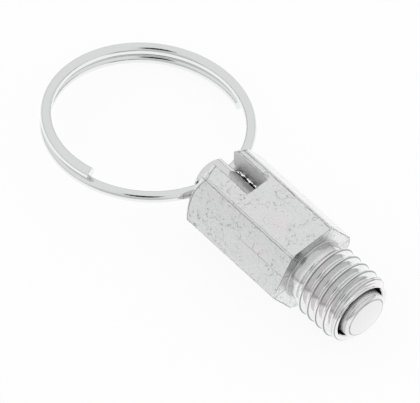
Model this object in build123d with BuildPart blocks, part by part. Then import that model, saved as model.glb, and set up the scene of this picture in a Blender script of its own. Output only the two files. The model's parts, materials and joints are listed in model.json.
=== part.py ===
from build123d import *
import math
import os

# Locking bolt: a spring-loaded plunger in a hex sleeve that screws into a panel. A split ring
# through the rod pulls the plunger back. Turned across the slot, the ring rests on the two
# ears at the rear of the sleeve and holds the nose in; turned in line with the slot, it would
# drop in and let the spring push the nose out.
#
# Frame: +X along the bolt towards the nose, +Z up, origin on the axis at the shoulder between
# hex and thread. The bolt lies on a flat of the hex, with its slotted flat on top.

# ---- driving dimensions, millimetres and degrees ----

# sleeve
hex_across_flats = 14.0
hex_length = 20.7
hex_edge_radius = 0.3
hex_end_face_diameter = 13.2
hex_end_chamfer_angle = 45
thread_diameter = 12.0
thread_length = 10.8
thread_end_chamfer = 0.8
relief_diameter = 10.3
relief_width = 2.0
bore_diameter = 9.0
bore_mouth_chamfer = 0.25
bore_rear_chamfer = 0.7
spring_seat_depth = 9.0
slot_width = 4.1
slot_depth = 7.65
slot_offset = 0.8
slot_corner_radius = 0.3

# plunger
nose_diameter = 8.0
nose_length = 1.25
nose_chamfer_width = 0.75
nose_chamfer_depth = 0.3
collar_clearance = 0.1
collar_length = 3.0
collar_front_depth = 9.3
collar_edge_chamfer = 0.3
rod_diameter = 6.3
rod_clearance = 0.15
rod_end_chamfer = 0.4
rod_end_length = 1.7
plunger_roll = 10.4

# spring
spring_wire = 0.9
spring_mean_diameter = 7.5
spring_turns = 5.5
spring_wire_sides = 8

# split ring
ring_mean_diameter = 31.3
ring_wire_diameter = 1.85
ring_wire_sides = 10
ring_coil_gap = 0.05
ring_first_end_angle = 72
ring_last_end_angle = 283
ring_lowest_angle = 120
ring_side_offset = 0.48
ring_ear_clearance = 0.1
ring_floor_clearance = 0.03
eye_clearance = 0.3

# ---- sizes that follow ----

sleeve_rear = -hex_length
hex_corner_radius = hex_across_flats / 2 / math.cos(math.radians(30))
hex_end_chamfer = hex_corner_radius - hex_end_face_diameter / 2
hex_end_chamfer_length = hex_end_chamfer * math.tan(math.radians(hex_end_chamfer_angle))
rod_bore_diameter = rod_diameter + 2 * rod_clearance
relief_slope = (thread_diameter - relief_diameter) / 2

nose_tip = thread_length + nose_length
collar_front = thread_length - collar_front_depth
collar_rear = collar_front - collar_length
collar_diameter = bore_diameter - 2 * collar_clearance
eye_x = sleeve_rear - ring_wire_diameter / 2 - ring_ear_clearance
rod_end = eye_x - rod_end_length
eye_diameter = ring_wire_diameter + 2 * eye_clearance

spring_front = collar_rear
spring_rear = -spring_seat_depth
spring_length = spring_front - spring_rear

ring_radius = ring_mean_diameter / 2
ring_pitch = ring_wire_diameter + ring_coil_gap
ring_turns = (360 + ring_last_end_angle - ring_first_end_angle) / 360
ring_start_drop = ring_pitch * (360 - ring_first_end_angle) / 360

# The wire bows across the rod, so the ring sits forward of the eye's axis by half the bow.
ring_bow = (rod_diameter / 2 + ring_side_offset) ** 2 / ring_mean_diameter
eye_to_ring = ring_radius - ring_bow / 2

# The ring hinges in the eye, whose axis has turned with the plunger. It leans back until its
# rim meets the surface under the hex: for a given turn that fixes how far it droops.
floor_depth = hex_across_flats / 2
rim_drop = ring_pitch * (360 - ring_lowest_angle) / 360
rim_depth = floor_depth - rim_drop - ring_wire_diameter / 2 - ring_floor_clearance
turn_rise = math.sin(math.radians(plunger_roll))
rim_slope = (rim_depth - ring_side_offset * turn_rise) / ring_radius
droop_rise = (rim_slope**2 - turn_rise**2) / (2 * rim_slope)
ring_droop = math.degrees(math.asin(droop_rise / math.cos(math.radians(plunger_roll))))

eye_axis = Vector(0, 1, 0).rotate(Axis.X, -plunger_roll)
eye_centre = Vector(eye_x, 0, 0)
ring_forward = Vector(1, 0, 0).rotate(Axis((0, 0, 0), eye_axis), -ring_droop)
ring_normal = ring_forward.cross(eye_axis)
ring_centre = eye_centre - ring_forward * eye_to_ring + eye_axis * ring_side_offset
ring_start = ring_forward.rotate(Axis((0, 0, 0), ring_normal), ring_first_end_angle)

eye_plane = Plane(origin=eye_centre, x_dir=(1, 0, 0), z_dir=eye_axis)
ring_plane = Plane(
    origin=ring_centre - ring_normal * ring_start_drop,
    x_dir=ring_start,
    z_dir=ring_normal,
)

os.makedirs("parts", exist_ok=True)

# ---- sleeve: hex bar turned down to the thread, bored, and slotted across its rear ----

with BuildPart() as sleeve:
    with BuildSketch(Plane.YZ.offset(sleeve_rear)):
        RegularPolygon(hex_corner_radius, 6)
        fillet(vertices(), hex_edge_radius)
    extrude(amount=hex_length + thread_length)

    # the turned outline: rear chamfer, shoulder, thread relief and chamfered thread
    with BuildSketch(Plane.XZ):
        with BuildLine():
            Polyline(
                (sleeve_rear, 0),
                (sleeve_rear, hex_end_face_diameter / 2),
                (sleeve_rear + hex_end_chamfer_length, hex_corner_radius),
                (0, hex_corner_radius),
                (0, relief_diameter / 2),
                (relief_width, relief_diameter / 2),
                (relief_width + relief_slope, thread_diameter / 2),
                (thread_length - thread_end_chamfer, thread_diameter / 2),
                (thread_length, thread_diameter / 2 - thread_end_chamfer),
                (thread_length, 0),
                close=True,
            )
        make_face()
    revolve(axis=Axis.X, mode=Mode.INTERSECT)

    # wide bore for collar and spring, narrow bore that guides the rod
    with BuildSketch(Plane.XZ):
        with BuildLine():
            Polyline(
                (sleeve_rear, 0),
                (sleeve_rear, rod_bore_diameter / 2 + bore_rear_chamfer),
                (sleeve_rear + bore_rear_chamfer, rod_bore_diameter / 2),
                (spring_rear, rod_bore_diameter / 2),
                (spring_rear, bore_diameter / 2),
                (thread_length - bore_mouth_chamfer, bore_diameter / 2),
                (thread_length, bore_diameter / 2 + bore_mouth_chamfer),
                (thread_length, 0),
                close=True,
            )
        make_face()
    revolve(axis=Axis.X, mode=Mode.SUBTRACT)

    # slot milled down through both flats, open to the rear
    with BuildSketch(Plane.XY):
        with Locations((sleeve_rear, slot_offset)):
            Rectangle(2 * slot_depth, slot_width)
        fillet(vertices().group_by(Axis.X)[-1], slot_corner_radius)
    extrude(amount=hex_across_flats, both=True, mode=Mode.SUBTRACT)

sleeve.part.label = "sleeve"
export_step(sleeve.part, "parts/sleeve.step")

# ---- plunger: nose, collar and rod turned in one piece, with the ring's eye across the rod ----

with BuildPart() as plunger:
    with BuildSketch(Plane.XZ):
        with BuildLine():
            Polyline(
                (rod_end, 0),
                (rod_end, rod_diameter / 2 - rod_end_chamfer),
                (rod_end + rod_end_chamfer, rod_diameter / 2),
                (collar_rear, rod_diameter / 2),
                (collar_rear, collar_diameter / 2 - collar_edge_chamfer),
                (collar_rear + collar_edge_chamfer, collar_diameter / 2),
                (collar_front - collar_edge_chamfer, collar_diameter / 2),
                (collar_front, collar_diameter / 2 - collar_edge_chamfer),
                (collar_front, nose_diameter / 2),
                (nose_tip - nose_chamfer_depth, nose_diameter / 2),
                (nose_tip, nose_diameter / 2 - nose_chamfer_width),
                (nose_tip, 0),
                close=True,
            )
        make_face()
    revolve(axis=Axis.X)

    with BuildSketch(eye_plane):
        Circle(eye_diameter / 2)
    extrude(amount=rod_diameter, both=True, mode=Mode.SUBTRACT)

plunger.part.label = "plunger"
export_step(plunger.part, "parts/plunger.step")

# ---- spring: one coil between the bore's shoulder and the collar, its ends ground flat ----

with BuildPart() as spring:
    with BuildLine() as spring_path:
        Helix(
            pitch=spring_length / spring_turns,
            height=spring_length,
            radius=spring_mean_diameter / 2,
            center=(spring_rear, 0, 0),
            direction=(1, 0, 0),
        )
    with BuildSketch(Plane(origin=spring_path.line @ 0, z_dir=spring_path.line % 0)):
        RegularPolygon(spring_wire / 2, spring_wire_sides)
    sweep(path=spring_path.line, is_frenet=True)

    with BuildSketch(Plane.YZ.offset(spring_rear)):
        Circle(bore_diameter / 2)
    extrude(amount=spring_length, mode=Mode.INTERSECT)

spring.part.label = "spring"
export_step(spring.part, "parts/spring.step")

# ---- split ring: a turn and a half of round wire, coiled in its own frame ----

with BuildPart() as split_ring:
    with BuildLine() as ring_path:
        Helix(pitch=ring_pitch, height=ring_pitch * ring_turns, radius=ring_radius)
    with BuildSketch(Plane(origin=ring_path.line @ 0, x_dir=(1, 0, 0), z_dir=ring_path.line % 0)):
        RegularPolygon(ring_wire_diameter / 2, ring_wire_sides)
    sweep(path=ring_path.line, is_frenet=True)

split_ring.part.locate(ring_plane.location)
split_ring.part.label = "split_ring"
export_step(split_ring.part, "parts/split_ring.step")
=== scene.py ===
import bmesh
import bpy
import json
import math
from mathutils import Matrix, Vector


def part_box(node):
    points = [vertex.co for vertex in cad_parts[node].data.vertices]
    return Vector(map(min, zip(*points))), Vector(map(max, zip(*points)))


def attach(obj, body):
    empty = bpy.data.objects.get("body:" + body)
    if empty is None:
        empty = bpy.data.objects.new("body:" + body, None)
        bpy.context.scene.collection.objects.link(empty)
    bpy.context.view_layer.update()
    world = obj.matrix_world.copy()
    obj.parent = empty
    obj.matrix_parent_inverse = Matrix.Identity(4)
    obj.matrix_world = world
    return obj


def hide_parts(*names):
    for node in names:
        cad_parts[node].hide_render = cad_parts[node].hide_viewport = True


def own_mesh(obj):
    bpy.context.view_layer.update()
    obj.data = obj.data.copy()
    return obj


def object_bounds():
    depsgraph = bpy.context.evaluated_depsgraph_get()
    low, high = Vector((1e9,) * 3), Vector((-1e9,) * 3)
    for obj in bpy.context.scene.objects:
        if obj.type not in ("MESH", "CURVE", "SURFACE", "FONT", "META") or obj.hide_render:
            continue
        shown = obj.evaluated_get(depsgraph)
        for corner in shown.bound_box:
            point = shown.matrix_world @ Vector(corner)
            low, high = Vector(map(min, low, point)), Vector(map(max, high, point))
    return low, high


# The locking bolt's look: one finer piece for each CAD node, its materials, and a white table
# under an even sky.

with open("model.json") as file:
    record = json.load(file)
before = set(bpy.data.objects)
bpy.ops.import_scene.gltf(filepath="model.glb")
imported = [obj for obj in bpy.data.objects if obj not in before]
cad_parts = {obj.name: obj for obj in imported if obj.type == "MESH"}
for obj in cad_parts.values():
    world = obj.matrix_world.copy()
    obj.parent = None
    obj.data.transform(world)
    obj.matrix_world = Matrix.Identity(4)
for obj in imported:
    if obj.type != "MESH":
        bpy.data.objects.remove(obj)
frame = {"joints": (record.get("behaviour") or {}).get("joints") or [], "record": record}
cad_low, cad_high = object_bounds()

# Shapes are built in millimetres, in the frame's axes, and turned into metres at the end.
MM = 0.001


def box_mm(node):
    """Lowest and highest corner of a CAD node, in millimetres."""
    low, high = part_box(node)
    return low / MM, high / MM


mounts = {mount["name"]: mount for mount in frame["record"]["mounts"]}
joints = {joint["name"]: joint for joint in frame["joints"]}
sleeve_low, sleeve_high = box_mm("sleeve")
plunger_low, plunger_high = box_mm("plunger")
spring_low, spring_high = box_mm("spring")

# ---------------------------------------------------------------- camera

# A long lens, as in the catalogue picture: the direction it looks from, the point in the middle
# of the picture, and the width of what it shows there.
TO_CAMERA = Vector((0.418, -0.379, 0.826)).normalized()
VIEW_CENTRE = Vector((-19.39, -3.21, 0)) * MM
VIEW_WIDTH = 63.44 * MM
CAMERA_DISTANCE = 2.4

camera = bpy.data.objects.new("camera", bpy.data.cameras.new("camera"))
bpy.context.scene.collection.objects.link(camera)
camera.data.sensor_width = 36
camera.data.lens = camera.data.sensor_width * CAMERA_DISTANCE / VIEW_WIDTH
camera.data.clip_start = 0.1
camera.data.clip_end = 2 * CAMERA_DISTANCE
camera.location = VIEW_CENTRE + TO_CAMERA * CAMERA_DISTANCE
camera.rotation_euler = TO_CAMERA.to_track_quat("Z", "Y").to_euler()
bpy.context.scene.camera = camera

# ---------------------------------------------------------------- mesh tools

# Points closer than this are one, in millimetres.
WELD_DISTANCE = 0.0005

# Edges sharper than this are shaded sharp, in degrees.
SMOOTH_ANGLE = 30


def add_object(name, bm):
    """Links the bmesh as an object."""
    mesh = bpy.data.meshes.new(name)
    bmesh.ops.recalc_face_normals(bm, faces=bm.faces)
    bm.to_mesh(mesh)
    bm.free()
    shade(mesh, SMOOTH_ANGLE)
    obj = bpy.data.objects.new(name, mesh)
    bpy.context.scene.collection.objects.link(obj)
    return obj


def shade(mesh, smooth_angle):
    """Smooth shading, apart from edges sharper than the angle in degrees."""
    mesh.shade_smooth()
    mesh.set_sharp_from_angle(angle=math.radians(smooth_angle))


def join_rings(bm, rings):
    """Faces between each ring of vertices and the next."""
    for lower, upper in zip(rings, rings[1:]):
        for i in range(len(lower)):
            j = (i + 1) % len(lower)
            bm.faces.new((lower[i], lower[j], upper[j], upper[i]))


def lathe(name, outline, segments):
    """A closed solid turned about X from (x, radius) points whose ends lie on the axis."""
    bm = bmesh.new()
    rings = []
    for x, radius in outline[1:-1]:
        ring = []
        for i in range(segments):
            angle = 2 * math.pi * i / segments
            ring.append(bm.verts.new((x, radius * math.cos(angle), radius * math.sin(angle))))
        rings.append(ring)
    join_rings(bm, rings)
    for (x, _), ring in ((outline[0], rings[0]), (outline[-1], rings[-1])):
        pole = bm.verts.new((x, 0, 0))
        for i in range(segments):
            bm.faces.new((ring[i], ring[(i + 1) % segments], pole))
    return add_object(name, bm)


def loft(name, sections):
    """A closed solid through sections of equally many points, with flat ends."""
    bm = bmesh.new()
    rings = [[bm.verts.new(point) for point in section] for section in sections]
    join_rings(bm, rings)
    bm.faces.new(rings[0])
    bm.faces.new(rings[-1])
    return add_object(name, bm)


def rounded_corners(corners, radius, steps):
    """A convex outline with an arc of that radius in place of each corner."""
    outline = []
    for before, corner, after in zip(corners[-1:] + corners, corners, corners[1:] + corners[:1]):
        corner = Vector(corner)
        back = (Vector(before) - corner).normalized()
        on = (Vector(after) - corner).normalized()
        half_angle = back.angle(on) / 2
        reach = radius / math.tan(half_angle)
        centre = corner + (back + on).normalized() * radius / math.sin(half_angle)
        start = corner + back * reach - centre
        end = corner + on * reach - centre
        sweep = math.pi - 2 * half_angle
        for i in range(steps + 1):
            share = i / steps
            spread = math.sin((1 - share) * sweep) * start + math.sin(share * sweep) * end
            outline.append(centre + spread / math.sin(sweep))
    return outline


def round_section(diameter, sides):
    """A round wire's outline, as (outwards, upwards) points."""
    angles = [2 * math.pi * i / sides for i in range(sides)]
    return [(diameter / 2 * math.cos(angle), diameter / 2 * math.sin(angle)) for angle in angles]


def combine(target, tool, operation):
    """Cuts the tool from the target, joins them or keeps what they share; removes the tool."""
    change = target.modifiers.new(operation, "BOOLEAN")
    change.operation = operation
    change.solver = "EXACT"
    change.object = tool
    depsgraph = bpy.context.evaluated_depsgraph_get()
    result = bpy.data.meshes.new_from_object(target.evaluated_get(depsgraph))
    target.modifiers.clear()
    target.data = result
    bpy.data.objects.remove(tool)


def finish_piece(obj, body, node, material, smooth_angle=SMOOTH_ANGLE):
    """Turns a finished shape into metres, gives it its material, and puts it on its body."""
    bm = bmesh.new()
    bm.from_mesh(obj.data)
    bmesh.ops.remove_doubles(bm, verts=bm.verts, dist=WELD_DISTANCE)
    bmesh.ops.dissolve_degenerate(bm, edges=bm.edges, dist=WELD_DISTANCE)
    bmesh.ops.recalc_face_normals(bm, faces=bm.faces)
    bm.transform(Matrix.Scale(MM, 4))
    bm.to_mesh(obj.data)
    bm.free()
    shade(obj.data, smooth_angle)
    weighted = obj.modifiers.new("flat_faces_stay_flat", "WEIGHTED_NORMAL")
    weighted.keep_sharp = True
    obj.data.materials.clear()
    obj.data.materials.append(material)
    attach(obj, body)
    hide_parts(node)


# ---------------------------------------------------------------- sizes, millimetres

# hex
HEX_EDGE_RADIUS = 0.3
HEX_END_FACE_DIAMETER = 13.2
HEX_FRONT_CHAMFER = 0.4
REAR_BULGE = 0.1

# relief and thread
RELIEF_DIAMETER = 10.3
RELIEF_WIDTH = 2.0
RELIEF_ROOT_RADIUS = 0.25
THREAD_PITCH = 1.75
THREAD_START = 1.9
THREAD_PHASE = math.radians(41)
THREAD_END_RADIUS = 5.35
THREAD_END_LENGTH = 1.7
CREST_RADIUS = 0.16

# bore
BORE_DIAMETER = 9.0
BORE_MOUTH_CHAMFER = 0.25
BORE_REAR_CHAMFER = 0.7
GUIDE_RADIUS = 3.3

# slot and the burr in it
SLOT_WIDTH = 4.1
SLOT_DEPTH = 7.65
SLOT_OFFSET = 0.8
SLOT_CORNER_RADIUS = 0.3
SLOT_EDGE_BREAK = 0.12
BURR_REAR = -19.7
BURR_FRONT = -15.5
BURR_HEIGHT = 2.0
# the lower edge of the painted shade under the burr
SHADE_STRIP_BOTTOM = 1.5

# plunger
NOSE_DIAMETER = 8.0
NOSE_CHAMFER_WIDTH = 0.6
NOSE_CHAMFER_DEPTH = 0.5
ROD_DIAMETER = 6.3

# how much every turned edge is broken, and how far a cutter reaches past what it cuts
EDGE_BREAK = 0.06
OVERSHOOT = 1.0

sleeve_rear = sleeve_low.x
sleeve_front = sleeve_high.x
slot_end = sleeve_rear + SLOT_DEPTH
slot_far_wall = SLOT_OFFSET + SLOT_WIDTH / 2
spring_seat = spring_low.x
bore_radius = BORE_DIAMETER / 2
relief_radius = RELIEF_DIAMETER / 2
face_radius = HEX_END_FACE_DIAMETER / 2
flat_radius = sleeve_high.z
corner_radius = flat_radius / math.cos(math.radians(30))
thread_radius = mounts["thread"]["dims"]["r_mm"]

# ---------------------------------------------------------------- node tools


class Nodes:
    """Short calls that build a node tree. A value is a number, a vector or a node's output."""

    def __init__(self, tree):
        self.tree = tree

    def give(self, socket, value):
        """Links a node's output to the socket, or sets a plain value on it."""
        if isinstance(value, bpy.types.NodeSocket):
            self.tree.links.new(value, socket)
        else:
            socket.default_value = value

    def node(self, kind, inputs=None, **settings):
        """A new node with these settings and these values on its inputs."""
        made = self.tree.nodes.new(kind)
        for name, value in settings.items():
            setattr(made, name, value)
        for name, value in (inputs or {}).items():
            self.give(made.inputs[name], value)
        return made

    def math(self, operation, first, second=0.0, third=0.0):
        inputs = {0: first, 1: second, 2: third}
        return self.node("ShaderNodeMath", inputs, operation=operation).outputs[0]

    def vector_math(self, operation, inputs, output="Vector"):
        return self.node("ShaderNodeVectorMath", inputs, operation=operation).outputs[output]

    def dot(self, vector, direction):
        return self.vector_math("DOT_PRODUCT", {0: vector, 1: direction}, "Value")

    def every(self, *masks):
        """Where all of these masks are 1: their product."""
        product = masks[0]
        for mask in masks[1:]:
            product = self.math("MULTIPLY", product, mask)
        return product

    def either(self, *masks):
        """Where any of these masks is 1: the greatest of them."""
        most = masks[0]
        for mask in masks[1:]:
            most = self.math("MAXIMUM", most, mask)
        return most

    def between(self, value, low, high, to_low=0.0, to_high=1.0):
        """Runs smoothly from to_low, where the value is low, to to_high, and is held there."""
        inputs = {"Value": value, "From Min": low, "From Max": high}
        inputs |= {"To Min": to_low, "To Max": to_high}
        made = self.node("ShaderNodeMapRange", inputs, interpolation_type="SMOOTHSTEP")
        return made.outputs[0]

    def mix_values(self, amount, first, second):
        """A mix of two numbers."""
        return self.node("ShaderNodeMix", {0: amount, 2: first, 3: second}).outputs[0]

    def mix(self, amount, first, second):
        """A mix of two colours, each three numbers or a node's output."""
        inputs = {0: amount}
        for socket, colour in ((6, first), (7, second)):
            plain = not isinstance(colour, bpy.types.NodeSocket)
            inputs[socket] = (*colour, 1.0) if plain else colour
        return self.node("ShaderNodeMix", inputs, data_type="RGBA").outputs[2]


class Metal(Nodes):
    """A metal material, and where on its piece a point lies: x, y, z, angle and radius."""

    def __init__(self, name):
        self.material = bpy.data.materials.new(name)
        self.material.use_nodes = True
        super().__init__(self.material.node_tree)
        self.surface = self.tree.nodes["Principled BSDF"]
        self.surface.inputs["Metallic"].default_value = 1.0
        place = self.node("ShaderNodeTexCoord").outputs["Object"]
        self.millimetres = self.vector_math("SCALE", {0: place, "Scale": 1 / MM})
        along = self.node("ShaderNodeSeparateXYZ", {0: self.millimetres}).outputs
        self.x, self.y, self.z = along[0], along[1], along[2]
        self.angle = self.math("ARCTAN2", self.z, self.y)
        square = self.math("ADD", self.every(self.y, self.y), self.every(self.z, self.z))
        self.radius = self.math("SQRT", square)

    def set(self, name, value):
        """Gives the surface this value, such as its colour or roughness."""
        self.give(self.surface.inputs[name], value)

    def away(self, value, place):
        """How far the value is from that place."""
        return self.math("ABSOLUTE", self.math("SUBTRACT", value, place))

    def line(self, value, place, half_width):
        """1 where the value is at that place, down to 0 half a width to either side."""
        return self.between(self.away(value, place), half_width, 0.0)

    def noise(self, scale, detail=2.0, shift=(0, 0, 0)):
        """Noise from 0 to 1, with so many features to a millimetre."""
        where = self.vector_math("ADD", {0: self.millimetres, 1: shift})
        inputs = {"Vector": where, "Scale": scale, "Detail": detail}
        return self.node("ShaderNodeTexNoise", inputs).outputs["Fac"]

    def cracks(self, cell, half_width, shift=(0, 0, 0)):
        """1 on a net of winding lines, with so many millimetres from line to line."""
        inputs = {"Vector": self.millimetres, "Scale": 1.2 / cell, "Detail": 5.0}
        warp = self.node("ShaderNodeTexNoise", inputs).outputs["Color"]
        bend = self.vector_math("SCALE", {0: warp, "Scale": 1.6 * cell})
        where = self.vector_math("ADD", {0: self.millimetres, 1: shift})
        inputs = {"Vector": self.vector_math("ADD", {0: where, 1: bend}), "Scale": 1 / cell}
        net = self.node("ShaderNodeTexVoronoi", inputs, feature="DISTANCE_TO_EDGE")
        line = half_width / cell
        return self.between(net.outputs["Distance"], line, 0.3 * line)

    def bump(self, height, depth_mm, below=None):
        """A bump whose full height is that many millimetres."""
        inputs = {"Height": height, "Distance": depth_mm * MM, "Strength": 1.0}
        if below is not None:
            inputs["Normal"] = below
        return self.node("ShaderNodeBump", inputs).outputs["Normal"]


# ---------------------------------------------------------------- zinc plating

# The face to the left of the top one, seen from the camera.
LEFT_FACE_START = math.radians(119.7)
LEFT_FACE_MIDDLE = math.radians(150)
SEAM_REAR = -10.8

# The painted dark lines on the thread, painted reflections beside each crest, in pitches forward
# from a groove's middle. The crest is at 0.5.
FRONT_FLANK_LINE = 0.605
REAR_FLANK_LINE = 0.40

# The colour of the worn marks, and of the painted dark lines and painted shade.
WEAR_AND_PAINTED_SHADE = (0.15, 0.15, 0.16)
DEEP_SHADE = (0.05, 0.05, 0.05)


def plating_marks(s):
    """Crazed scuffs, longer scratches and pin-head nicks in the zinc, each kept in patches."""
    on_left = s.between(s.angle, LEFT_FACE_START, LEFT_FACE_START + 0.02)
    left_face = s.every(on_left, s.between(s.x, -1.0, -3.0))
    beside_slot = s.between(s.x, slot_end + 0.5, slot_end - 0.5)
    often = s.every(s.math("ADD", left_face, beside_slot), 0.05)
    worn = s.math("ADD", s.noise(0.35, shift=(40, 0, 0)), often)
    patches = s.between(worn, 0.46, 0.58)
    broken = s.between(s.noise(1.9, shift=(0, 0, 90)), 0.46, 0.60)
    scuffs = s.every(s.cracks(1.2, 0.06), patches, broken, 0.85)
    thin = s.between(s.noise(0.6, shift=(0, 20, 0)), 0.48, 0.58)
    scratches = s.every(s.cracks(2.9, 0.055, (0, 50, 0)), thin, 0.65)
    specks = s.between(s.noise(6.5, 1.0, (0, 70, 0)), 0.64, 0.74)
    nicks = s.every(specks, s.between(worn, 0.44, 0.52), 0.3)
    on_hex = s.between(s.x, 0.05, 0.0)
    return s.every(s.either(scuffs, scratches, nicks), on_hex)


def painted_hex_outlines(s, wobble):
    """Painted dark reflections: lines along the hex's six long edges and round its front face."""
    half_face = math.radians(30)
    turn = s.math("WRAP", s.angle, half_face, -half_face)
    across = s.math("ADD", s.every(s.radius, s.math("SINE", turn)), wobble)
    long_edges = s.either(s.line(across, 0.28, 0.12), s.every(s.line(across, -0.1, 0.1), 0.6))
    to_flat = s.math("COSINE", s.math("SUBTRACT", half_face, s.math("ABSOLUTE", turn)))
    depth = s.math("SUBTRACT", flat_radius, s.every(s.radius, to_flat))
    on_front = s.between(s.x, -0.04, -0.01)
    front_edge = s.every(s.line(s.math("ADD", depth, wobble), 0.1, 0.14), on_front)
    return s.either(long_edges, front_edge)


def painted_slot_outlines(s, wobble):
    """Painted dark reflections: lines beside the slot, on top."""
    beside = s.math("ADD", s.away(s.y, SLOT_OFFSET), wobble)
    return s.every(
        s.line(beside, SLOT_WIDTH / 2 + SLOT_EDGE_BREAK, 0.1),
        s.between(s.x, slot_end + 0.1, slot_end),
        s.between(s.z, 4.0, 5.0),
    )


def rolled_seam(s):
    """The bar's seam along the middle of the left face."""
    across = s.every(s.radius, s.math("SUBTRACT", s.angle, LEFT_FACE_MIDDLE))
    return s.every(s.line(across, 0.0, 0.09), s.between(s.x, SEAM_REAR, SEAM_REAR + 0.6, 0.0, 0.8))


def painted_edge_shading_and_seam(s):
    """Thin uneven dark lines, painted dark reflections, along the hex's edges, its chamfer and its
    slot, and the line of its seam.
    """
    wobble = s.between(s.noise(1.2, shift=(0, 0, 30)), 0.3, 0.7, -0.05, 0.05)
    faint = s.between(s.noise(0.7, shift=(60, 0, 0)), 0.35, 0.6, 0.55, 1.0)
    cone = s.math("SUBTRACT", s.math("ADD", s.x, face_radius - sleeve_rear), s.radius)
    chamfer_edge = s.line(s.math("ADD", cone, wobble), 0.12, 0.12)
    lines = s.either(painted_hex_outlines(s, wobble), chamfer_edge, painted_slot_outlines(s, wobble), rolled_seam(s))
    return s.every(lines, s.between(s.x, 0.1, 0.0), faint)


def painted_crest_lines(s):
    """Painted dark reflections: fine dark lines on both sides of each crest, and round the
    thread's end.
    """
    turn = s.math("DIVIDE", s.math("SUBTRACT", s.angle, THREAD_PHASE), 2 * math.pi)
    pitches = s.math("DIVIDE", s.math("SUBTRACT", s.x, THREAD_START), THREAD_PITCH)
    place = s.math("FRACT", s.math("SUBTRACT", pitches, turn))
    near_crest = s.between(s.radius, thread_radius - 0.5, thread_radius - 0.4)
    front_line = s.every(s.line(place, FRONT_FLANK_LINE, 0.055), near_crest)
    rear_line = s.every(s.line(place, REAR_FLANK_LINE, 0.04), near_crest, 0.5)
    on_end = s.between(s.x, sleeve_front - 0.2, sleeve_front - 0.1)
    end_edge = s.every(s.line(s.radius, THREAD_END_RADIUS, 0.1), on_end)
    on_thread = s.every(
        s.between(s.x, THREAD_START, THREAD_START + 0.5),
        s.between(s.radius, bore_radius + 0.3, bore_radius + 0.35),
    )
    return s.every(s.either(front_line, rear_line, end_edge), on_thread)


def painted_relief_shade(s):
    """Painted shade in the undercut: darkest in its root and along one turned line, lighter over
    the rest, and none near the thread.
    """
    wobble = s.between(s.noise(0.8, shift=(0, 25, 0)), 0.3, 0.7, -0.12, 0.12)
    along = s.math("ADD", s.x, wobble)
    root = s.every(s.between(along, 0.5, 0.2), 0.8)
    turned_line = s.every(s.line(along, 1.1, 0.25), 0.7)
    dull = s.between(along, 1.9, 1.4, 0.0, 0.5)
    inside = s.every(
        s.between(s.radius, relief_radius + 0.35, relief_radius + 0.2),
        s.between(s.x, -0.05, -0.03),
    )
    return s.every(s.either(root, turned_line, dull), inside)


def end_grooves(s):
    """The cutter's fine rings on the thread's end, from -1 to 1."""
    ring_pitch = 0.33
    wander = s.math("ADD", s.x, s.every(s.noise(0.7), 0.25))
    grooves = s.math("SINE", s.every(wander, 2 * math.pi / ring_pitch))
    end = sleeve_front - THREAD_END_LENGTH
    return s.every(
        grooves,
        s.between(s.x, end, end + 0.1),
        s.between(s.radius, relief_radius + 0.05, relief_radius + 0.1),
    )


def painted_shade_under_burr(s):
    """Painted shade: a dark strip on the slot's far wall, under the burr, over the gap beside the
    rod.
    """
    return s.every(
        s.line(s.y, slot_far_wall, 0.05),
        s.between(s.z, BURR_HEIGHT - 0.1, BURR_HEIGHT - 0.15),
        s.between(s.z, SHADE_STRIP_BOTTOM, SHADE_STRIP_BOTTOM + 0.1),
        s.between(s.x, slot_end + 0.05, slot_end - 0.05),
    )


def on_burr(s):
    """The burr itself."""
    return s.every(
        s.between(s.y, slot_far_wall - 0.01, slot_far_wall - 0.02),
        s.between(s.y, slot_far_wall - 0.5, slot_far_wall - 0.45),
        s.between(s.z, BURR_HEIGHT - 0.2, BURR_HEIGHT - 0.19),
        s.between(s.z, BURR_HEIGHT + 0.2, BURR_HEIGHT + 0.19),
        s.between(s.x, BURR_REAR - 0.3, BURR_REAR),
        s.between(s.x, BURR_FRONT + 0.3, BURR_FRONT),
    )


def painted_inner_shading(s, colour):
    """Adds painted light and shade inside: the slot's walls, paler towards the top and darker
    towards the bottom, and the bore, near black inside and paler at its mouth.
    """
    in_slot = s.every(
        s.between(s.away(s.y, SLOT_OFFSET), SLOT_WIDTH / 2 + 0.045, SLOT_WIDTH / 2 - 0.02),
        s.between(s.x, slot_end + 0.05, slot_end + 0.04),
        s.between(s.radius, GUIDE_RADIUS + 0.1, GUIDE_RADIUS + 0.11),
    )
    # Painted light and shade on the slot's walls: paler towards the top, darker towards the
    # bottom.
    wall = s.mix(s.between(s.z, 2.5, 6.0), (0.66, 0.66, 0.66), (0.86, 0.86, 0.855))
    in_wide_bore = s.every(
        s.between(s.x, spring_seat - 0.1, spring_seat),
        s.between(s.radius, bore_radius + 0.14, bore_radius + 0.10),
    )
    # Painted shade in the bore: near black inside, paler towards its mouth.
    in_guide = s.between(s.radius, GUIDE_RADIUS + 0.1, GUIDE_RADIUS + 0.05)
    near_mouth = s.between(s.x, sleeve_front - 2.5, sleeve_front - 0.3)
    shade_in_bore = s.mix(near_mouth, DEEP_SHADE, (0.5, 0.5, 0.5))
    return s.mix(s.either(in_guide, in_wide_bore), s.mix(in_slot, colour, wall), shade_in_bore)


def plating_tint(s):
    """Zinc between a bluish and a warmer grey, finely speckled."""
    cloud = s.between(s.noise(0.18, 3.0), 0.35, 0.65)
    tint = s.mix(cloud, (0.69, 0.712, 0.705), (0.725, 0.707, 0.712))
    speckle = s.between(s.noise(3.0, 4.0, (9, 0, 0)), 0.35, 0.7)
    return s.mix(s.every(speckle, 0.35), tint, (0.52, 0.53, 0.53))


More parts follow.
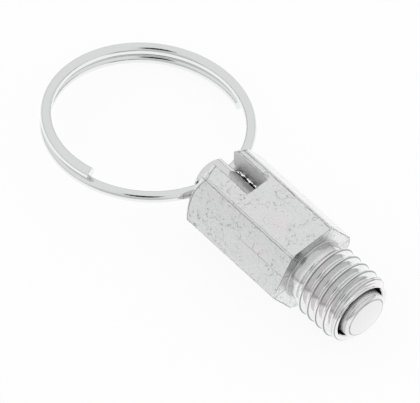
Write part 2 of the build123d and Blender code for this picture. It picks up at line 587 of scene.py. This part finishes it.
def zinc_plating():
    """Zinc on machined steel: dull and marked on the hex, brighter where it was turned, with
    painted shade in its edges, crests, undercut, slot and bore and a painted glint on the burr.
    """
    s = Metal("zinc_plating")
    marks = plating_marks(s)
    grooves = end_grooves(s)
    burr = on_burr(s)
    # Real marks and tool grooves, with painted dark lines along edges and crests and painted shade
    # in the undercut.
    dark = s.either(
        s.every(marks, 0.75),
        s.every(painted_edge_shading_and_seam(s), 0.9),
        s.every(painted_crest_lines(s), 0.9),
        s.every(painted_relief_shade(s), 0.55),
        s.between(grooves, -0.5, -1.0, 0.0, 0.5),
    )
    colour = painted_inner_shading(s, s.mix(dark, plating_tint(s), WEAR_AND_PAINTED_SHADE))
    # The burr's colour: pale bare metal, made brighter as a painted glint, flecked black with
    # painted shade in its dips.
    speckled = s.between(s.noise(3.5, 1.0), 0.56, 0.6)
    burr_glint_and_shade_flecks = s.mix(speckled, (0.95, 0.95, 0.94), (0.08, 0.08, 0.08))
    # Painted shade on the slot's far wall, under the burr.
    colour = s.mix(painted_shade_under_burr(s), colour, DEEP_SHADE)
    s.set("Base Color", s.mix(burr, colour, burr_glint_and_shade_flecks))

    grain = s.noise(6.0, 3.0)
    turned = s.either(s.between(s.x, 0.02, 0.04), burr)
    dull = s.between(grain, 0.3, 0.7, 0.26, 0.40)
    bright = s.between(grain, 0.3, 0.7, 0.10, 0.17)
    s.set("Roughness", s.mix_values(turned, dull, bright))
    fine = s.bump(s.every(grain, s.math("SUBTRACT", 1.0, turned)), 0.004)
    fine = s.bump(grooves, 0.02, fine)
    s.set("Normal", s.bump(s.math("SUBTRACT", 1.0, marks), 0.015, fine))
    return s.material


# ---------------------------------------------------------------- other metals


def painted_nose_outlines(s):
    """Painted shade: uneven dark lines at both edges of the nose's chamfer."""
    nose_face_radius = NOSE_DIAMETER / 2 - NOSE_CHAMFER_WIDTH
    face_edge = s.line(s.radius, nose_face_radius, 0.2)
    side_edge = s.every(s.line(s.x, plunger_high.x - NOSE_CHAMFER_DEPTH, 0.12), 0.6)
    on_nose = s.between(s.x, plunger_high.x - 1.0, plunger_high.x - 0.9)
    uneven = s.between(s.noise(0.9, shift=(0, 0, 15)), 0.3, 0.7, 0.6, 1.0)
    return s.every(s.either(face_edge, side_edge), on_nose, uneven)


def turned_steel():
    """Bright turned steel with the tool's fine rings, duller where it slides in the bore."""
    s = Metal("turned_steel")
    ring_pitch = 0.4
    rings = s.math("SINE", s.every(s.radius, 2 * math.pi / ring_pitch))
    grain = s.noise(5.0, 3.0)
    steel = s.mix(grain, (0.60, 0.60, 0.60), (0.70, 0.70, 0.70))
    # Painted shade: dark lines at the nose chamfer's edges.
    s.set("Base Color", s.mix(s.every(painted_nose_outlines(s), 0.9), steel, (0.15, 0.15, 0.15)))
    sliding = s.every(
        s.between(s.x, sleeve_front + 0.5, sleeve_front, 0.0, 0.35),
        s.between(s.x, 0.0, 1.0),
    )
    s.set("Roughness", s.math("ADD", s.between(grain, 0.3, 0.7, 0.10, 0.18), sliding))
    s.set("Normal", s.bump(rings, 0.001, s.bump(grain, 0.002)))
    return s.material


def plain_wire(name, scale, colours, roughness):
    """Drawn wire whose grain runs between two colours and two roughnesses."""
    s = Metal(name)
    grain = s.noise(scale, 3.0)
    s.set("Base Color", s.mix(grain, *colours))
    s.set("Roughness", s.between(grain, 0.35, 0.65, *roughness))
    s.set("Normal", s.bump(grain, 0.004))
    return s.material


def polished_wire():
    """Nickel-plated wire, lightly polished."""
    colours = ((0.64, 0.65, 0.65), (0.70, 0.70, 0.70))
    return plain_wire("polished_wire", 2.5, colours, (0.10, 0.16))


def oiled_spring_wire():
    """Darker wire with a thin film of oil."""
    colours = ((0.38, 0.38, 0.40), (0.50, 0.50, 0.51))
    return plain_wire("oiled_spring_wire", 4.0, colours, (0.25, 0.38))


# ---------------------------------------------------------------- sleeve

SLEEVE_SEGMENTS = 144
BORE_SEGMENTS = 120
THREAD_STEPS = 120
BURR_STEPS = 60
CORNER_STEPS = 5


def turned_outline():
    """What the lathe leaves: rear chamfer, shoulder, relief, and the blank of the thread."""
    chamfer = corner_radius - face_radius
    outline = [
        (sleeve_rear, 0),
        (sleeve_rear, face_radius - EDGE_BREAK),
        (sleeve_rear + EDGE_BREAK / 2, face_radius + EDGE_BREAK),
        (sleeve_rear + chamfer / 3, face_radius + chamfer / 3 + REAR_BULGE),
        (sleeve_rear + 2 * chamfer / 3, face_radius + 2 * chamfer / 3 + REAR_BULGE),
        (sleeve_rear + chamfer, corner_radius),
        (-HEX_FRONT_CHAMFER, corner_radius),
        (0, corner_radius - HEX_FRONT_CHAMFER),
    ]
    root_steps = 4
    for i in range(root_steps + 1):
        angle = math.pi / 2 * i / root_steps
        inwards = RELIEF_ROOT_RADIUS * (1 - math.sin(angle))
        outline.append((RELIEF_ROOT_RADIUS * (1 - math.cos(angle)), relief_radius + inwards))
    outline += [
        (RELIEF_WIDTH, relief_radius),
        (RELIEF_WIDTH + thread_radius - relief_radius, thread_radius),
        (sleeve_front - THREAD_END_LENGTH, thread_radius),
        (sleeve_front - EDGE_BREAK, THREAD_END_RADIUS + EDGE_BREAK),
        (sleeve_front, THREAD_END_RADIUS - EDGE_BREAK),
        (sleeve_front, 0),
    ]
    return outline


def hexagon_bar():
    """The hexagonal bar that the sleeve is turned from, its long edges rounded."""
    corners = []
    for i in range(6):
        angle = math.radians(60 * i)
        corners.append((corner_radius * math.cos(angle), corner_radius * math.sin(angle)))
    outline = rounded_corners(corners, HEX_EDGE_RADIUS, CORNER_STEPS)
    ends = (sleeve_rear - OVERSHOOT, sleeve_front + OVERSHOOT)
    return loft("hexagon_bar", [[(x, y, z) for y, z in outline] for x in ends])


def bore():
    """Narrow guide for the rod at the rear, wide bore for collar and spring in front."""
    return lathe(
        "bore",
        [
            (sleeve_rear - OVERSHOOT, 0),
            (sleeve_rear - OVERSHOOT, GUIDE_RADIUS + BORE_REAR_CHAMFER + OVERSHOOT),
            (sleeve_rear + BORE_REAR_CHAMFER, GUIDE_RADIUS),
            (spring_seat, GUIDE_RADIUS),
            (spring_seat, bore_radius),
            (sleeve_front - BORE_MOUTH_CHAMFER, bore_radius),
            (sleeve_front, bore_radius + BORE_MOUTH_CHAMFER),
            (sleeve_front + OVERSHOOT, bore_radius + BORE_MOUTH_CHAMFER),
            (sleeve_front + OVERSHOOT, 0),
        ],
        BORE_SEGMENTS,
    )


def slot_cutter():
    """The slot across the rear, its edges on the two flats slightly broken."""
    levels = (
        (-flat_radius - OVERSHOOT, SLOT_EDGE_BREAK + OVERSHOOT),
        (-flat_radius + SLOT_EDGE_BREAK, 0),
        (flat_radius - SLOT_EDGE_BREAK, 0),
        (flat_radius + OVERSHOOT, SLOT_EDGE_BREAK + OVERSHOOT),
    )
    sections = []
    for z, spread in levels:
        left = SLOT_OFFSET - SLOT_WIDTH / 2 - spread
        right = SLOT_OFFSET + SLOT_WIDTH / 2 + spread
        end = slot_end + spread
        start = sleeve_rear - 2 * OVERSHOOT
        corners = [(start, left), (end, left), (end, right), (start, right)]
        outline = rounded_corners(corners, SLOT_CORNER_RADIUS + spread, CORNER_STEPS)
        sections.append([(x, y, z) for x, y in outline])
    return loft("slot_cutter", sections)


def thread_profile():
    """One groove across: rounded edges of the crests, 60 degree flanks, and a round root.

    Its points are (along the axis, height over the crests).
    """
    flank = math.radians(30)
    # a sixth of the height that the groove would have with sharp edges
    root_radius = 0.1443 * THREAD_PITCH
    half_pitch = THREAD_PITCH / 2
    apex = half_pitch / math.tan(flank) - CREST_RADIUS / math.sin(flank) + CREST_RADIUS
    root_depth = apex - root_radius / math.sin(flank)
    above_crest = 0.2
    # the groove stops just short of the next one, so that it doesn't touch itself
    gap = 0.01
    side = [(half_pitch - gap, above_crest), (half_pitch - gap, 0)]
    for angle in (15, 30, 45, 60):
        angle = math.radians(angle)
        across = half_pitch - CREST_RADIUS * math.sin(angle)
        side.append((across, CREST_RADIUS * (math.cos(angle) - 1)))
    root = []
    for angle in range(-30, -151, -20):
        angle = math.radians(angle)
        root.append((root_radius * math.cos(angle), root_radius * math.sin(angle) - root_depth))
    return side + root + [(-across, height) for across, height in reversed(side)]


def thread_groove():
    """The groove of a metric thread, wound from the relief out past the front end."""
    profile = thread_profile()
    run_out_length = 0.6
    run_out_lift = 0.35
    turns = (sleeve_front + OVERSHOOT - THREAD_START) / THREAD_PITCH
    sections = []
    for i in range(round(turns * THREAD_STEPS) + 1):
        advance = THREAD_PITCH * i / THREAD_STEPS
        angle = 2 * math.pi * i / THREAD_STEPS + THREAD_PHASE
        lift = run_out_lift * max(0.0, 1 - advance / run_out_length)
        section = []
        for across, height in profile:
            radius = thread_radius + height + lift
            x = THREAD_START + advance + across
            section.append((x, radius * math.cos(angle), radius * math.sin(angle)))
        sections.append(section)
    return loft("thread_groove", sections)


def ragged_burr():
    """The lip of metal pushed out of the slot's far wall, where the slot cuts through the bore."""
    anchored = slot_far_wall + 0.05
    end_reach = 0.03
    sections = []
    for i in range(BURR_STEPS + 1):
        x = BURR_REAR + (BURR_FRONT - BURR_REAR) * i / BURR_STEPS
        reach = 0.15 + 0.07 * math.sin(4.3 * x) + 0.05 * math.sin(11.7 * x)
        top = BURR_HEIGHT + 0.05 * math.sin(7.1 * x)
        if i in (0, BURR_STEPS):
            reach = end_reach
        tip = slot_far_wall - reach
        section = [(anchored, BURR_HEIGHT - 0.14), (tip, top - 0.03), (tip, top)]
        section.append((anchored, top + 0.1))
        sections.append([(x, y, z) for y, z in section])
    return loft("ragged_burr", sections)


def threaded_sleeve():
    """Hexagonal bar turned, threaded, bored and slotted, with the burr the slot's cutter left."""
    sleeve = lathe("threaded_sleeve", turned_outline(), SLEEVE_SEGMENTS)
    combine(sleeve, hexagon_bar(), "INTERSECT")
    combine(sleeve, thread_groove(), "DIFFERENCE")
    combine(sleeve, bore(), "DIFFERENCE")
    combine(sleeve, slot_cutter(), "DIFFERENCE")
    combine(sleeve, ragged_burr(), "UNION")
    return sleeve


finish_piece(threaded_sleeve(), "sleeve", "sleeve", zinc_plating())

# ---------------------------------------------------------------- plunger

COLLAR_LENGTH = 3.0
COLLAR_EDGE_CHAMFER = 0.3
ROD_END_CHAMFER = 0.4
EYE_DIAMETER = 2.45
EYE_EDGE_BREAK = 0.3
PLUNGER_SEGMENTS = 120
EYE_SEGMENTS = 48

rod_radius = ROD_DIAMETER / 2
eye_centre = Vector(joints["ring_swing"]["pos_m"]) / MM
eye_axis = Vector(joints["ring_swing"]["axis"]).normalized()


def plunger_outline():
    """Rod, collar and nose, from the rear."""
    rod_end = plunger_low.x
    nose_tip = plunger_high.x
    nose_radius = NOSE_DIAMETER / 2
    collar_radius = plunger_high.z
    collar_rear = spring_high.x
    collar_front = collar_rear + COLLAR_LENGTH
    return [
        (rod_end, 0),
        (rod_end, rod_radius - ROD_END_CHAMFER - EDGE_BREAK),
        (rod_end + EDGE_BREAK / 2, rod_radius - ROD_END_CHAMFER),
        (rod_end + ROD_END_CHAMFER - EDGE_BREAK / 2, rod_radius - EDGE_BREAK / 2),
        (rod_end + ROD_END_CHAMFER + EDGE_BREAK, rod_radius),
        (collar_rear, rod_radius),
        (collar_rear, collar_radius - COLLAR_EDGE_CHAMFER),
        (collar_rear + COLLAR_EDGE_CHAMFER, collar_radius),
        (collar_front - COLLAR_EDGE_CHAMFER, collar_radius),
        (collar_front, collar_radius - COLLAR_EDGE_CHAMFER),
        (collar_front, nose_radius),
        (nose_tip - NOSE_CHAMFER_DEPTH - EDGE_BREAK, nose_radius),
        (nose_tip - NOSE_CHAMFER_DEPTH + EDGE_BREAK / 2, nose_radius - EDGE_BREAK),
        (nose_tip - EDGE_BREAK / 2, nose_radius - NOSE_CHAMFER_WIDTH + EDGE_BREAK),
        (nose_tip, nose_radius - NOSE_CHAMFER_WIDTH - EDGE_BREAK),
        (nose_tip, 0),
    ]


def eye_drill():
    """The drill for the ring's eye, wider where it enters and leaves the rod."""
    eye_radius = EYE_DIAMETER / 2
    entry_radius = eye_radius + EYE_EDGE_BREAK + OVERSHOOT
    drill = lathe(
        "drill",
        [
            (-rod_radius - OVERSHOOT, 0),
            (-rod_radius - OVERSHOOT, entry_radius),
            (-rod_radius + EYE_EDGE_BREAK, eye_radius),
            (rod_radius - EYE_EDGE_BREAK, eye_radius),
            (rod_radius + OVERSHOOT, entry_radius),
            (rod_radius + OVERSHOOT, 0),
        ],
        EYE_SEGMENTS,
    )
    turn = Vector((1, 0, 0)).rotation_difference(eye_axis).to_matrix().to_4x4()
    drill.data.transform(Matrix.Translation(eye_centre) @ turn)
    return drill


def turned_plunger():
    """Nose, collar and rod turned in one piece, and drilled across for the ring."""
    plunger = lathe("turned_plunger", plunger_outline(), PLUNGER_SEGMENTS)
    combine(plunger, eye_drill(), "DIFFERENCE")
    return plunger


finish_piece(turned_plunger(), "plunger", "plunger", turned_steel())

# ---------------------------------------------------------------- split ring

RING_RADIUS = 15.65
RING_WIRE = 1.85
RING_WIRE_SIDES = 36
RING_COIL_GAP = 0.05
RING_END_BREAK = 0.05
RING_SIDE_OFFSET = 0.48
RING_BOW = (rod_radius + RING_SIDE_OFFSET) ** 2 / (2 * RING_RADIUS)
RING_SMOOTH_ANGLE = 40

# leaning back this far, the ring's rim rests on the table
RING_DROOP = math.radians(5.574)

# round the coil from its front, in degrees
RING_FIRST_END = 72
RING_LAST_END = 283
RING_STEP = 1.5


def ring_stations():
    """(angle in degrees, size) along the coil; its two ends are slightly smaller."""
    first, last = RING_FIRST_END, 360 + RING_LAST_END
    steps = round((last - first) / RING_STEP)
    end_break = math.degrees(RING_END_BREAK / RING_RADIUS)
    end_size = 1 - 2 * RING_END_BREAK
    stations = [(first, end_size), (first + end_break, 1)]
    stations += [(first + (last - first) * i / steps, 1) for i in range(1, steps)]
    return stations + [(last - end_break, 1), (last, end_size)]


def coiled_ring():
    """A turn and a half of wire through the eye, leaning on the surface behind the bolt."""
    forward = Matrix.Rotation(-RING_DROOP, 3, eye_axis) @ Vector((1, 0, 0))
    normal = forward.cross(eye_axis)
    centre = eye_centre - forward * (RING_RADIUS - RING_BOW / 2) + eye_axis * RING_SIDE_OFFSET
    pitch = RING_WIRE + RING_COIL_GAP
    outline = round_section(RING_WIRE, RING_WIRE_SIDES)
    sections = []
    for angle, size in ring_stations():
        outwards = Matrix.Rotation(math.radians(angle), 3, normal) @ forward
        middle = centre + outwards * RING_RADIUS + normal * pitch * (angle - 360) / 360
        sections.append([middle + (outwards * u + normal * v) * size for u, v in outline])
    return loft("coiled_ring", sections)


ring = coiled_ring()
finish_piece(ring, "ring", "split_ring", polished_wire(), RING_SMOOTH_ANGLE)

# ---------------------------------------------------------------- spring

SPRING_WIRE = 0.9
SPRING_WIRE_SIDES = 14
SPRING_MEAN_DIAMETER = 7.5
SPRING_TURNS = 5.5
SPRING_STEPS = 48
SPRING_ROOM_SEGMENTS = 32
CLOSED_TURN = 0.75
CLOSED_PITCH = 0.6 * SPRING_WIRE

spring_length = spring_high.x - spring_low.x


def spring_room():
    """The room from seat to collar, which the ground ends of the spring fit."""
    return lathe(
        "spring_room",
        [
            (spring_low.x, 0),
            (spring_low.x, SPRING_MEAN_DIAMETER),
            (spring_high.x, SPRING_MEAN_DIAMETER),
            (spring_high.x, 0),
        ],
        SPRING_ROOM_SEGMENTS,
    )


def coil_spring():
    """Round wire, its end turns closed up and ground flat against seat and collar."""
    open_turns = SPRING_TURNS - 2 * CLOSED_TURN
    open_pitch = (spring_length - 2 * CLOSED_TURN * CLOSED_PITCH) / open_turns
    forward = Vector((1, 0, 0))
    outline = round_section(SPRING_WIRE, SPRING_WIRE_SIDES)
    sections = []
    for i in range(round(SPRING_TURNS * SPRING_STEPS) + 1):
        turn = i / SPRING_STEPS
        closed = min(turn, CLOSED_TURN) + max(0, turn - SPRING_TURNS + CLOSED_TURN)
        x = spring_low.x + CLOSED_PITCH * closed + open_pitch * (turn - closed)
        angle = 2 * math.pi * turn
        outwards = Vector((0, math.cos(angle), math.sin(angle)))
        middle = outwards * SPRING_MEAN_DIAMETER / 2 + forward * x
        sections.append([middle + outwards * u + forward * v for u, v in outline])
    spring = loft("coil_spring", sections)
    combine(spring, spring_room(), "INTERSECT")
    return spring


spring = coil_spring()
finish_piece(spring, "spring", "spring", oiled_spring_wire())
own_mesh(spring)

# ---------------------------------------------------------------- floor and light

# The table, in metres: as bright as TABLE_LEVEL to metal up to BRIGHT_TABLE from the origin, and
# as dim as the horizon from DIM_TABLE on. TABLE_GLOW is the share of it that takes no shadow.
FLOOR_SIZE = 2.0
BRIGHT_TABLE = 0.05
DIM_TABLE = 0.16
TABLE_LEVEL = 1.33
TABLE_GLOW = 0.9
TABLE_COLOUR = (0.95, 0.95, 0.95, 1)

# The sky: even, dimmer near the horizon, most of all on the side of the opening, a little
# dimmer towards the camera's stand, and dark where the lens is.
WHITE = (1, 1, 1, 1)
SKY_LEVEL = 1.02
HORIZON_LEVEL = 0.75
HORIZON_HEIGHT = 0.15
OPENING_ANGLE = math.radians(-15)
OPENING_LEVEL = 0.7
STAND_ANGLE = math.radians(-58)
STAND_LEVEL = 0.75
LENS_OUTER = math.radians(18)
LENS_INNER = math.radians(12)
LENS_LEVEL = 0.03


def table_material():
    """White to the camera with the bolt's faint shadow; metal sees it dim away from the bolt."""
    material = bpy.data.materials.new("white_table")
    material.use_nodes = True
    n = Nodes(material.node_tree)
    n.tree.nodes.remove(n.tree.nodes["Principled BSDF"])
    place = n.node("ShaderNodeTexCoord").outputs["Object"]
    reach = n.vector_math("LENGTH", {0: place}, "Value")
    level = n.between(reach, BRIGHT_TABLE, DIM_TABLE, TABLE_LEVEL, HORIZON_LEVEL)
    rays = n.node("ShaderNodeLightPath").outputs
    is_camera = rays["Is Camera Ray"]
    level = n.every(level, n.math("SUBTRACT", 1.0, is_camera))
    level = n.math("ADD", level, is_camera)
    seen = n.every(n.either(is_camera, rays["Is Glossy Ray"]), TABLE_GLOW)
    matt = n.node("ShaderNodeBsdfDiffuse", {"Color": TABLE_COLOUR}).outputs[0]
    glow = n.node("ShaderNodeEmission", {"Color": WHITE, "Strength": level}).outputs[0]
    surface = n.node("ShaderNodeMixShader", {0: seen, 1: matt, 2: glow}).outputs[0]
    n.give(n.tree.nodes["Material Output"].inputs["Surface"], surface)
    return material


def white_floor():
    """The table that the bolt lies on."""
    bm = bmesh.new()
    half = FLOOR_SIZE / 2
    corners = [(-half, -half), (half, -half), (half, half), (-half, half)]
    bm.faces.new([bm.verts.new((x, y, cad_low.z)) for x, y in corners])
    floor = add_object("floor", bm)
    floor.data.materials.append(table_material())


def level_direction(angle):
    """The level direction at that angle from +X towards +Y."""
    return (math.cos(angle), math.sin(angle), 0)


def light_tent():
    """The sky, which is plain white to the camera."""
    world = bpy.data.worlds.new("light_tent")
    bpy.context.scene.world = world
    world.use_nodes = True
    n = Nodes(world.node_tree)
    direction = n.node("ShaderNodeTexCoord").outputs["Generated"]
    height = n.node("ShaderNodeSeparateXYZ", {0: direction}).outputs["Z"]
    opening = n.dot(direction, level_direction(OPENING_ANGLE))
    horizon = n.between(opening, 0.2, 0.8, HORIZON_LEVEL, OPENING_LEVEL)
    sky = n.mix_values(n.between(height, HORIZON_HEIGHT, 0.0), SKY_LEVEL, horizon)
    towards_stand = n.between(n.dot(direction, level_direction(STAND_ANGLE)), 0.65, 0.85)
    below_camera = n.between(height, 0.75, 0.5)
    stand = n.mix_values(n.every(towards_stand, below_camera), 1.0, STAND_LEVEL)
    edges = (math.cos(LENS_OUTER), math.cos(LENS_INNER))
    lens = n.between(n.dot(direction, TO_CAMERA), *edges, 1.0, LENS_LEVEL)
    level = n.every(sky, lens, stand)
    level = n.either(level, n.node("ShaderNodeLightPath").outputs["Is Camera Ray"])
    background = n.tree.nodes["Background"]
    background.inputs["Color"].default_value = WHITE
    n.give(background.inputs["Strength"], level)


white_floor()
light_tent()
bpy.context.scene.view_settings.view_transform = "Standard"
